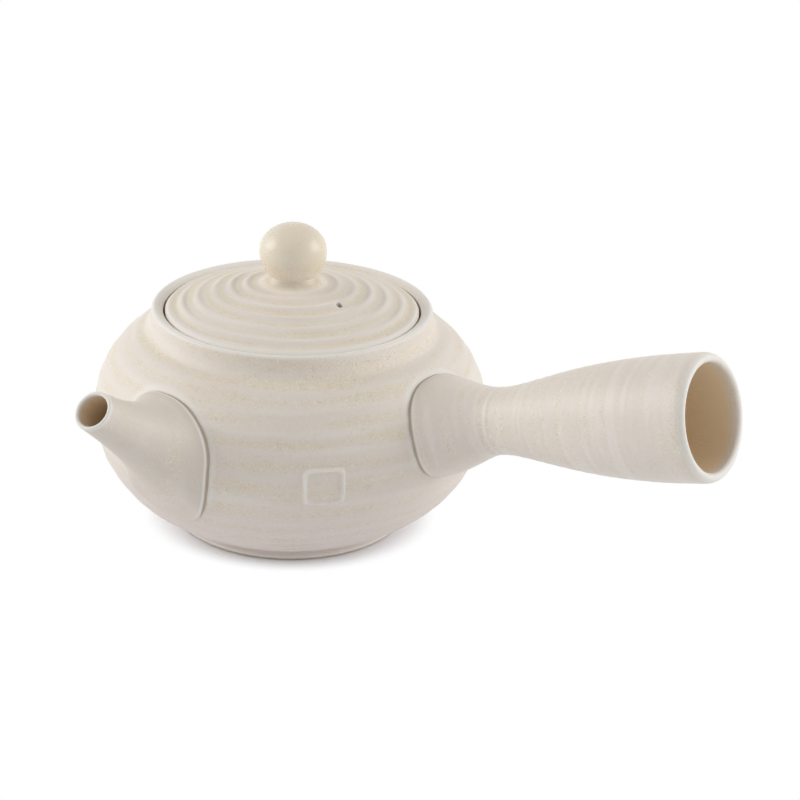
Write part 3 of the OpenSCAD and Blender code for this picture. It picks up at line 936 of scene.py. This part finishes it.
class TEAPOT_OT_body(bpy.types.Operator):
    """Throw the body: foot, belly, shoulder, collar, rim and gallery"""

    bl_idname = "teapot.body"
    bl_label = "Throw the body"

    def execute(self, context):
        teapot = context.scene.teapot
        body, spout, wall = teapot.body, teapot.spout, Wall(teapot)
        bm = revolve(self.outline(teapot, wall))
        unsettle(bm, body.swell, body.ring_depth)
        pierce(bm, Vector((0, 0, spout.port_z)), Vector((0, -1, 0)), spout.port_r)
        marks = [
            ("X", 1.0, "Y", handle_edge(teapot, wall).mark()),
            ("Y", -1.0, "X", spout_edge(teapot, wall).mark()),
        ]
        material = glaze(
            "body_glaze", teapot.glaze.ivory, bands=170.0, patches=17.0,
            pale=0.45, ring=0.065, grain=0.65, blush=0.8, marks=marks,
        )
        piece("thrown_body", bm, "pot", "body", material)
        return {"FINISHED"}

    def outline(self, teapot, wall):
        """The line from the middle of the underside up the outside and down to the middle of the floor."""
        body, rim = teapot.body, teapot.rim
        rings_from, rings_to = -0.78, 0.85  # full rings from above the foot to below the collar
        deep_below, even_above, deeper = -0.55, -0.3, 2.4  # and deeper ones low on the wall
        foot = Vector((body.foot_r, body.foot_round))
        top, neck = self.sweep(wall, -body.foot_sweep, wall.foot_neck_r)
        yield Turned(0, 0, hollow=1)
        yield Turned(0.9 * body.foot_r, 0, hollow=1)
        under = arc(foot - Vector((body.foot_round, 0)), body.foot_round, -90, 0)
        for s, point in zip(spread(ARC_STEPS), under):
            # The foot's lower rounding is bare clay, darkened with painted shade for its contact shadow on
            # the floor.
            bare_and_shaded = 1 - fade(s, 0.5, 0.85)
            yield Turned(*point, edge=fade(s, 0.75, 1), hollow=bare_and_shaded, seam=bare_and_shaded)
        for s in spread(SWEEP_STEPS)[1:-1]:
            yield Turned(*curve2(foot, neck, top, s), edge=1 - fade(s, 0, 0.2))
        for step in spread(WALL_STEPS):
            s = -body.foot_sweep + (body.foot_sweep + rim.sweep_from) * step
            z = wall.height(s)
            settled = fade(s, -body.foot_sweep, rings_from) * (1 - fade(s, rings_to, rim.sweep_from))
            depth = deeper + (1 - deeper) * fade(s, deep_below, even_above)
            ridge = wall.ring(z) * settled * depth
            yield Turned(wall.radius(z) + body.ring_depth * ridge, z, ridge=ridge, swell=settled)
        yield from self.rim(rim, wall)
        yield from self.inside(body, wall)

    def sweep(self, wall, s, pull_r):
        """Where a sweep leaves the wall, and the point at a radius that its first direction leads to."""
        z = wall.height(s)
        start = Vector((wall.radius(z), z))
        out, up = wall.normal(z)
        return start, Vector((pull_r, z + (start.x - pull_r) * out / up))

    def rim(self, rim, wall):
        """The collar, the rim's crest, and the gallery with the lid's seat."""
        shoulder, pull = self.sweep(wall, rim.sweep_from, rim.rim_r + rim.collar_pull_out)
        crest = Vector((rim.rim_r, rim.rim_z - rim.crest_round))
        over = arc(crest - Vector((rim.crest_round, 0)), rim.crest_round, 0, 90)
        for s in spread(SWEEP_STEPS)[1:]:
            yield Turned(*curve2(shoulder, pull, crest, s))
        for s, point in list(zip(spread(ARC_STEPS), over))[1:]:
            yield Turned(*point, edge=fade(s, 0, 0.6))
        gallery_r = rim.rim_r - rim.rim_w
        throat_r = gallery_r - rim.seat_w
        seat_z = rim.rim_z - rim.seat_depth
        corners = [
            (*over[-1], 0),
            (gallery_r, rim.rim_z - rim.rim_fall, 0.5 * MM),
            (gallery_r, seat_z, 0.5 * MM),
            (throat_r, seat_z, 0.6 * MM),
            (throat_r, seat_z - rim.seat_t, 1.0 * MM),
            (*wall.inside(1), 0),
        ]
        for point in rounded(corners):
            # Down the gallery the glaze gives way to bare clay, and on its outer wall painted shade darkens
            # the gap between the lid and the rim.
            deep = fade(rim.rim_z - point.y, 1.4 * MM, 2.4 * MM)
            outer = 1 - fade(gallery_r - point.x, 1 * MM, 3 * MM)
            yield Turned(*point, hollow=deep, seam=deep * outer)

    def inside(self, body, wall):
        """The inner wall, the bend and the flat floor."""
        line = [wall.inside(1 - 2 * s) for s in spread(FINE_STEPS)]
        line = [point for point in line if point.y > body.floor]
        line += [Vector((wall.foot_neck_r - body.floor_bend, body.floor)), Vector((0, body.floor))]
        for point in line:
            yield Turned(*point, hollow=1)


class TEAPOT_OT_spout(bpy.types.Operator):
    """Pull the spout and press it on the wall"""

    bl_idname = "teapot.spout"
    bl_label = "Pull the spout"

    def execute(self, context):
        teapot = context.scene.teapot
        bm = loft(self.rings(teapot, Wall(teapot)))
        unsettle(bm, swell=0.1 * MM)
        swing(bm, -QUARTER_TURN)
        material = glaze(
            "spout_glaze", teapot.glaze.spout, bands=90.0, patches=24.0, warm=0.25, pale=0.2, blush=0.6
        )
        piece("pulled_spout", bm, "pot", "spout", material)
        return {"FINISHED"}

    def rings(self, teapot, wall):
        """Rings over the pressed edge, out to the mouth, over its lip and back along the bore."""
        spout, press = teapot.spout, teapot.press
        belly_r, rim_z = teapot.body.belly_r, teapot.rim.rim_z
        edge = spout_edge(teapot, wall)
        waist = Vector((belly_r + spout.waist_reach, 0, rim_z - spout.waist_fall))
        mouth = Vector((belly_r + spout.reach, 0, rim_z - spout.fall))
        ahead = direction(0, spout.lean)
        lip = spout.tip_wall / 2
        edge_end = 0.04

        def tube(start, waist_r, tip_r, s):
            pull = lean_ring(waist, spout.waist_lean, waist_r)
            return blend_rings(start, pull, lean_ring(mouth, spout.lean, tip_r), s)

        def skin(s):
            return tube(pressed_top(wall, edge, spout.edge_t), spout.waist_r, spout.tip_r, s)

        def bore(s):
            start = wall.laid(bore_line(spout.port_z, spout.port_r + spout.port_step), -press.sink)
            return tube(start, spout.waist_r - spout.wall, spout.tip_r - spout.tip_wall, s)

        yield from pressed_rings(wall, press, spout.edge_t, edge, skin, edge_end)
        for s in spread(FINE_STEPS)[1:]:
            at = edge_end + (1 - edge_end) * s
            swell = fade(at, 0, 0.3) * (1 - at)
            yield Ring(skin(at), along=at * spout.reach, edge=fade(at, 0.985, 1), swell=swell)
        for s in spread(2 * ARC_STEPS)[1:-1]:
            turn = math.pi * s
            radius = spout.tip_r - lip * (1 - math.cos(turn))
            yield Ring(lean_ring(mouth + ahead * lip * math.sin(turn), spout.lean, radius), edge=1)
        for s in spread(FINE_STEPS // 2):
            along = s * spout.reach
            yield Ring(bore(1 - s), along=along, edge=1 - fade(s, 0, 0.02), hollow=fade(s, 0, 0.03))


class TEAPOT_OT_strainer(bpy.types.Operator):
    """Finish the pierced strainer behind the spout"""

    bl_idname = "teapot.strainer"
    bl_label = "Finish the strainer"

    def execute(self, context):
        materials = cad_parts["strainer"].data.materials
        materials.clear()
        materials.append(bare_clay(context.scene.teapot.glaze))
        return {"FINISHED"}


class TEAPOT_OT_handle(bpy.types.Operator):
    """Throw the hollow handle and press it on the wall"""

    bl_idname = "teapot.handle"
    bl_label = "Throw the handle"

    def execute(self, context):
        teapot = context.scene.teapot
        bm = loft(self.rings(teapot, Wall(teapot)))
        unsettle(bm, swell=0.12 * MM, ring_depth=teapot.handle.ring_depth)
        material = glaze(
            "handle_glaze", teapot.glaze.handle, bands=210.0, patches=26.0,
            warm=0.25, pale=0.35, ring=0.08, grain=0.6, roughness=0.42,
        )
        piece("thrown_handle", bm, "pot", "handle", material)
        return {"FINISHED"}

    def ridge(self, handle, along):
        """Height of the rings at a distance along the handle: wide ones, fine lines and two strong ones."""
        wide_share, fine_share, strong_share, more_at_waist = 0.6, 0.5, 1.9, 0.6
        out = along - handle.first_line
        drift = math.sin(FULL_TURN * out / handle.ring_drift)
        wide = math.cos(FULL_TURN * out / handle.ring_pitch + drift)
        fine = math.cos(FULL_TURN * out / handle.line_pitch)
        lines = [(along - at) / handle.line_width for at in (handle.first_line, handle.second_line)]
        strong = sum(math.exp(-(off**2)) for off in lines)
        waist = 1 - fade(along, handle.second_line, 1.5 * handle.second_line)
        even = (wide_share * wide + fine_share * fine) * (1 + more_at_waist * waist)
        return even + strong_share * strong

    def rings(self, teapot, wall):
        """Rings over the pressed edge, along the neck and the grip, over the lip and back inside."""
        handle, press = teapot.handle, teapot.press
        edge = handle_edge(teapot, wall)
        root_z = edge.middle() + handle.axis_up
        root = Vector((wall.radius(root_z), 0, root_z))
        ahead = direction(0, handle.rise)
        grip_end = handle.reach - handle.lip
        inner_r = handle.end_r - handle.wall
        edge_end = 0.06

        def ring(along, radius):
            return lean_ring(root + along * ahead, handle.rise, radius)

        def flare(start, radius, s):
            swept = []
            for point, turn, end in zip(start, turns(), ring(handle.neck, radius)):
                under = 0.5 - 0.5 * math.sin(turn)
                hold = handle.hold + (handle.hold_under - handle.hold) * under
                sweep = handle.flare + (handle.flare_under - handle.flare) * under
                reach = (point - root).dot(ahead) + sweep
                near = lean_point(root + reach * ahead, handle.rise, radius, turn)
                swept.append(curve3(point, point + hold * ahead, near, end, s))
            return swept

        def skin(s):
            return flare(pressed_top(wall, edge, handle.edge_t), handle.waist_r, s)

        def grip(s):
            waist, end = Vector((handle.neck, handle.waist_r)), Vector((grip_end, handle.end_r))
            pull_waist, pull_end = Vector((handle.pull_waist, 0)), Vector((handle.pull_end, 0))
            return curve3(waist, waist + pull_waist, end - pull_end, end, s)

        yield from pressed_rings(wall, press, handle.edge_t, edge, skin, edge_end)
        for s in spread(FINE_STEPS // 2)[1:]:
            at = edge_end + (1 - edge_end) * s
            along = handle.neck * at
            ridge = self.ridge(handle, along) * fade(at, 0.2, 0.9)
            yield Ring(skin(at), along=along, ridge=ridge, swell=fade(at, 0, 0.4))
        for s in spread(2 * FINE_STEPS)[1:]:
            along, radius = grip(s)
            settled = 1 - fade(s, 0.9, 1)
            ridge = self.ridge(handle, along) * settled
            radius += handle.ring_depth * ridge
            yield Ring(ring(along, radius), along=along, ridge=ridge, swell=settled)
        for s in spread(2 * ARC_STEPS)[1:]:
            turn = QUARTER_TURN * s
            radius = handle.end_r - (handle.wall - handle.inner_edge) * (1 - math.cos(turn))
            lip = ring(grip_end + handle.lip * math.sin(turn), radius)
            yield Ring(lip, along=grip_end, edge=fade(s, 0.1, 0.7))
        for s in spread(ARC_STEPS)[1:]:
            turn = QUARTER_TURN * s
            along = handle.reach - handle.inner_edge * (1 - math.cos(turn))
            radius = inner_r + handle.inner_edge * (1 - math.sin(turn))
            yield Ring(ring(along, radius), along=along, edge=1 - s)
        for s in spread(FINE_STEPS):
            along, radius = grip(1 - s)
            hollow = fade(handle.reach - along, 0.8 * MM, 4.5 * MM)
            yield Ring(ring(along, radius - handle.wall), along=along, hollow=hollow, swell=fade(s, 0, 0.2))
        bore = wall.laid(bore_line(root_z, handle.waist_r), -press.sink)
        for s in spread(FINE_STEPS // 4)[1:]:
            yield Ring(flare(bore, handle.waist_r - handle.wall, 1 - s), hollow=1)


def lid_dome(teapot, r):
    """Height of the lid's dome at a radius, without its rings."""
    return teapot.rim.rim_z - teapot.lid.sink + teapot.lid.rise * (1 - (r / LID_HIGH.x) ** 2)


def lid_top(teapot, r):
    """Height of the lid's top at a radius, and its place between a groove at -1 and a ridge at 1."""
    lid = teapot.lid
    ridge = crested((LID_HIGH.x - r) / lid.ring_pitch, lid.ring_crest)
    ringed = fade(LID_HIGH.x - r, lid.edge_round, lid.flat)
    return lid_dome(teapot, r) - (lid.ring_level - lid.ring_depth * ridge) * ringed, ridge * ringed


class TEAPOT_OT_lid(bpy.types.Operator):
    """Throw the lid with its rings, vent and locating flange"""

    bl_idname = "teapot.lid"
    bl_label = "Throw the lid"

    def execute(self, context):
        teapot = context.scene.teapot
        bm = revolve(self.outline(teapot))
        unsettle(bm, swell=0.08 * MM, ring_depth=teapot.lid.ring_depth)
        self.vent(bm, teapot.lid)
        material = glaze("lid_glaze", teapot.glaze.ivory, bands=200.0, patches=20.0, warm=0.6, ring=0.1)
        piece("thrown_lid", bm, "lid", "lid", material)
        return {"FINISHED"}

    def vent(self, bm, lid):
        """Pierces the vent, with a dent and a pale edge around it, and painted shade at the rim of its hole.
        """
        dent, pale_to, dark_to = 0.25 * MM, 2 * lid.vent_r, 1.25 * lid.vent_r
        vent = lid.vent_out * direction(lid.vent_turn, 0) + Vector((0, 0, LID_LOW.z))
        pale, dark = bm.verts.layers.float["edge"], bm.verts.layers.float["seam"]
        for vert in bm.verts:
            out = (vert.co.xy - vent.xy).length
            near = 1 - fade(out, lid.vent_r, pale_to)
            vert[pale] = max(vert[pale], near)
            # Painted shade at the rim of the hole
            vert[dark] = max(vert[dark], 1 - fade(out, lid.vent_r, dark_to))
            vert.co.z -= dent * near
        pierce(bm, vent, Vector((0, 0, 1)), lid.vent_r)

    def outline(self, teapot):
        """The line from under the knob out to the edge, round the flange and back to the middle."""
        lid, rim = teapot.lid, teapot.rim
        lid_r, middle = LID_HIGH.x, teapot.knob.neck_r
        edge_z = rim.rim_z - lid.sink
        last = lid_r - lid.edge_round
        under_z = rim.rim_z - rim.seat_depth + SLIP_GAP
        flange_r = rim.rim_r - rim.rim_w - rim.seat_w - lid.gap
        flange_in = flange_r - lid.flange_t
        ceiling_r = 0.9 * flange_in

        yield Turned(0, lid_top(teapot, middle)[0])
        for s in spread(3 * FINE_STEPS):
            r = middle + (last - middle) * s
            z, ridge = lid_top(teapot, r)
            settled = fade(s, 0.1, 0.25) * (1 - fade(s, 0.8, 0.95))
            pale = max(fade(s, 0.97, 1), 0.7 * (1 - fade(r, 9.5 * MM, 11.5 * MM)))
            yield Turned(r, z, ridge=ridge, edge=pale, swell=settled)
        slope = math.degrees(math.atan(lid_r / (2 * lid.rise)))
        for point in arc(Vector((last, edge_z - lid.edge_round)), lid.edge_round, slope, 0):
            yield Turned(*point, edge=1)
        corners = [
            (lid_r, edge_z - lid.edge_round, 0),
            (lid_r, under_z, 0.5 * MM),
            (flange_r, under_z, 0.3 * MM),
            (flange_r, LID_LOW.z, 0.8 * MM),
            (flange_in, LID_LOW.z, 0.8 * MM),
            (flange_in, lid_dome(teapot, flange_in) - lid.thickness, 2.0 * MM),
            (ceiling_r, lid_dome(teapot, ceiling_r) - lid.thickness, 0),
        ]
        under = list(rounded(corners))
        for s in spread(FINE_STEPS // 2):
            r = ceiling_r * (1 - s)
            under.append(Vector((r, lid_dome(teapot, r) - lid.thickness)))
        for point in under:
            yield Turned(*point, hollow=0.6)


class TEAPOT_OT_knob(bpy.types.Operator):
    """Set the ball knob on the lid"""

    bl_idname = "teapot.knob"
    bl_label = "Set the knob"

    def execute(self, context):
        teapot = context.scene.teapot
        bm = revolve(self.outline(teapot, teapot.knob))
        unsettle(bm, swell=0.1 * MM)
        material = glaze(
            "knob_glaze", teapot.glaze.knob, bands=60.0, patches=40.0, warm=0.4, grain=0.1, roughness=0.28
        )
        piece("ball_knob", bm, "lid", "knob", material)
        return {"FINISHED"}

    def outline(self, teapot, knob):
        """The line from the middle of the base out, up the neck and over the ball."""
        knob_r, foot_z = KNOB_HIGH.x, KNOB_LOW.z
        dip = knob.under * math.sqrt(1 - (knob.neck_r / knob_r) ** 2)
        middle_z = foot_z + knob.neck_h + dip
        low_turn = math.asin(dip / knob.under)
        start = Vector((knob.base_r, lid_top(teapot, knob.base_r)[0] - knob.base_sink))
        pull = Vector((knob.neck_r + 0.6 * MM, foot_z + 0.2 * MM))
        end = Vector((knob.neck_r, foot_z + knob.neck_h))

        yield Turned(0, start.y)
        for s in spread(SWEEP_STEPS):
            # A darker band on the neck under the ball: painted shade, with the dark pits of crawled glaze
            # there.
            shade_and_pits = 0.5 * fade(s, 0.3, 0.65) * (1 - fade(s, 0.95, 1))
            yield Turned(*curve2(start, pull, end, s), edge=0.5 * (1 - fade(s, 0.05, 0.3)), seam=shade_and_pits)
        for s in spread(FINE_STEPS // 2)[1:]:
            turn = -low_turn * (1 - s)
            z = middle_z + knob.under * math.sin(turn)
            yield Turned(knob_r * math.cos(turn), z, swell=fade(s, 0, 0.4))
        for s in spread(FINE_STEPS // 2)[1:]:
            turn = QUARTER_TURN * s
            yield Turned(knob_r * math.cos(turn), middle_z + knob.top * math.sin(turn), swell=1)


class TEAPOT_OT_seal(bpy.types.Operator):
    """Press the square seal's raised frame, with its field left bare"""

    bl_idname = "teapot.seal"
    bl_label = "Press the seal"

    def execute(self, context):
        teapot = context.scene.teapot
        bm = loft(self.rings(teapot.seal, Wall(teapot), sunk=0.6 * MM))
        swing(bm, teapot.seal.turn)
        piece("seal_frame", bm, "pot", None, bpy.data.materials["body_glaze"])
        return {"FINISHED"}

    def rings(self, seal, wall, sunk):
        """Rings across the raised line, and one sunk in the wall under it."""
        square = Edge(seal.width, seal.z - seal.height / 2, seal.z + seal.height / 2, seal.squareness)
        shares = [max(0.4, thick) for thick in press_shares()]
        below = 0.8 * wall.body.ring_depth
        for s in spread(4 * ARC_STEPS):
            rise = fade(1 - abs(2 * s - 1), 0, 1)
            lifts = [seal.proud * rise * thick - below for thick in shares]
            line = square.grown(seal.line * (s - 0.5)).line()
            # The raised line takes the pale tone: glaze thinning over it, and a painted highlight along it.
            yield Ring(wall.laid(line, lifts), edge=[rise * thick for thick in shares])
        yield Ring(wall.laid(square.line(), -sunk))


class TEAPOT_OT_stage(bpy.types.Operator):
    """Set the floor, the lamps, the world and the camera"""

    bl_idname = "teapot.stage"
    bl_label = "Set the stage"

    def execute(self, context):
        stage = context.scene.teapot.stage
        self.camera(context.scene, stage)
        self.floor(stage)
        self.lamps(stage)
        self.world(context.scene, stage)
        context.scene.view_settings.view_transform = "Standard"
        return {"FINISHED"}

    def camera(self, scene, stage):
        """The camera at the viewing angle."""
        lens = bpy.data.cameras.new("camera")
        lens.lens = stage.lens
        lens.clip_start = 10 * MM
        ahead = direction(stage.heading, -stage.pitch)
        turn = ahead.to_track_quat("-Z", "Y").to_matrix().to_4x4() @ Matrix.Rotation(stage.roll, 4, "Z")
        scene.camera = put("camera", lens)
        place = Matrix.Translation((stage.camera_x, stage.camera_y, stage.camera_z))
        scene.camera.matrix_world = place @ turn

    def floor(self, stage):
        """The white floor."""
        bm = bmesh.new()
        bmesh.ops.create_grid(bm, x_segments=1, y_segments=1, size=FLOOR_HALF)
        bmesh.ops.translate(bm, verts=bm.verts, vec=(0, 0, -FLOOR_DROP))
        made = put_mesh("floor", bm, self.floor_paint(stage))
        made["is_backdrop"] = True

    def floor_paint(self, stage):
        """White paint that shows the pot's shadow, and is plain white farther out."""
        made = bpy.data.materials.new("white_floor")
        web = woven(made)
        nodes = made.node_tree.nodes
        nodes.remove(nodes["Principled BSDF"])
        feeds = {
            "Vector": web.place(),
            "Location": -stage.shade_ahead * direction(stage.heading, 0),
            "Rotation": (0, 0, stage.heading),
            "Scale": (stage.shade_deep, stage.shade_wide, 1),
        }
        spot = web.node("Mapping", feeds, vector_type="TEXTURE").outputs[0]
        distance = web.node("VectorMath", {0: spot}, operation="LENGTH").outputs["Value"]
        white = web.times(web.remap(distance, stage.shade_r, stage.white_r), web.seen())
        paint = web.node("BsdfDiffuse", {"Color": FLOOR_WHITE}).outputs[0]
        glow = web.node("Emission", {"Strength": stage.glow}).outputs[0]
        lit = web.node("AddShader", {0: paint, 1: glow}).outputs[0]
        plain = web.node("Emission", {"Strength": 1.0}).outputs[0]
        both = web.node("MixShader", {0: white, 1: lit, 2: plain}).outputs[0]
        web.feed(nodes["Material Output"].inputs["Surface"], both)
        return made

    def lamps(self, stage):
        """A soft lamp on each side, turned to the pot."""
        middle = (CAD_BOX[0] + CAD_BOX[1]) / 2
        left, right = (-stage.lamp_side, stage.left_power), (stage.lamp_side, stage.right_power)
        for name, (side, power) in {"left_lamp": left, "right_lamp": right}.items():
            lamp = bpy.data.lights.new(name, "AREA")
            lamp.energy = power
            lamp.size = stage.lamp_size
            away = direction(stage.heading + math.pi + side, stage.lamp_lift)
            made = put(name, lamp)
            made.location = middle + away * stage.lamp_away
            made.rotation_euler = (-away).to_track_quat("-Z", "Y").to_euler()

    def world(self, scene, stage):
        """A white surrounding to look at, and a dimmer one to light the pot."""
        scene.world = bpy.data.worlds.new("studio")
        web = woven(scene.world)
        sky = web.tree.nodes["Background"]
        sky.inputs["Color"].default_value = (1, 1, 1, 1)
        up = web.axes(web.node("TexCoord", {}).outputs["Generated"])["Z"]
        fill = web.remap(up, 0.0, 1.0, stage.fill, stage.fill_top)
        web.feed(sky.inputs["Strength"], web.most(web.seen(), fill))


class TEAPOT_PT_sidebar(bpy.types.Panel):
    """The steps of making the teapot"""

    bl_idname = "TEAPOT_PT_sidebar"
    bl_label = "Teapot"
    bl_space_type = "VIEW_3D"
    bl_region_type = "UI"
    bl_category = "Teapot"

    def draw(self, context):
        for operator in OPERATORS:
            self.layout.operator(operator.bl_idname)


GROUPS = (
    BodySizes, RimSizes, SpoutSizes, HandleSizes, LidSizes, KnobSizes, SealSizes, PressSizes,
    GlazeColours, StageSettings, Teapot,
)
OPERATORS = (
    TEAPOT_OT_stage, TEAPOT_OT_body, TEAPOT_OT_spout, TEAPOT_OT_strainer,
    TEAPOT_OT_handle, TEAPOT_OT_lid, TEAPOT_OT_knob, TEAPOT_OT_seal,
)
CLASSES = GROUPS + OPERATORS + (TEAPOT_PT_sidebar,)


def register():
    for made in CLASSES:
        bpy.utils.register_class(made)
    bpy.types.Scene.teapot = PointerProperty(type=Teapot)


def unregister():
    del bpy.types.Scene.teapot
    for made in reversed(CLASSES):
        bpy.utils.unregister_class(made)


def main():
    register()
    bpy.ops.teapot.stage()
    bpy.ops.teapot.body()
    bpy.ops.teapot.spout()
    bpy.ops.teapot.strainer()
    bpy.ops.teapot.handle()
    bpy.ops.teapot.lid()
    bpy.ops.teapot.knob()
    bpy.ops.teapot.seal()
    boxes = {"cad": CAD_BOX, "visual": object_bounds()}
    {name: [list(corner) for corner in box] for name, box in boxes.items()}


if __name__ == "__main__":
    main()
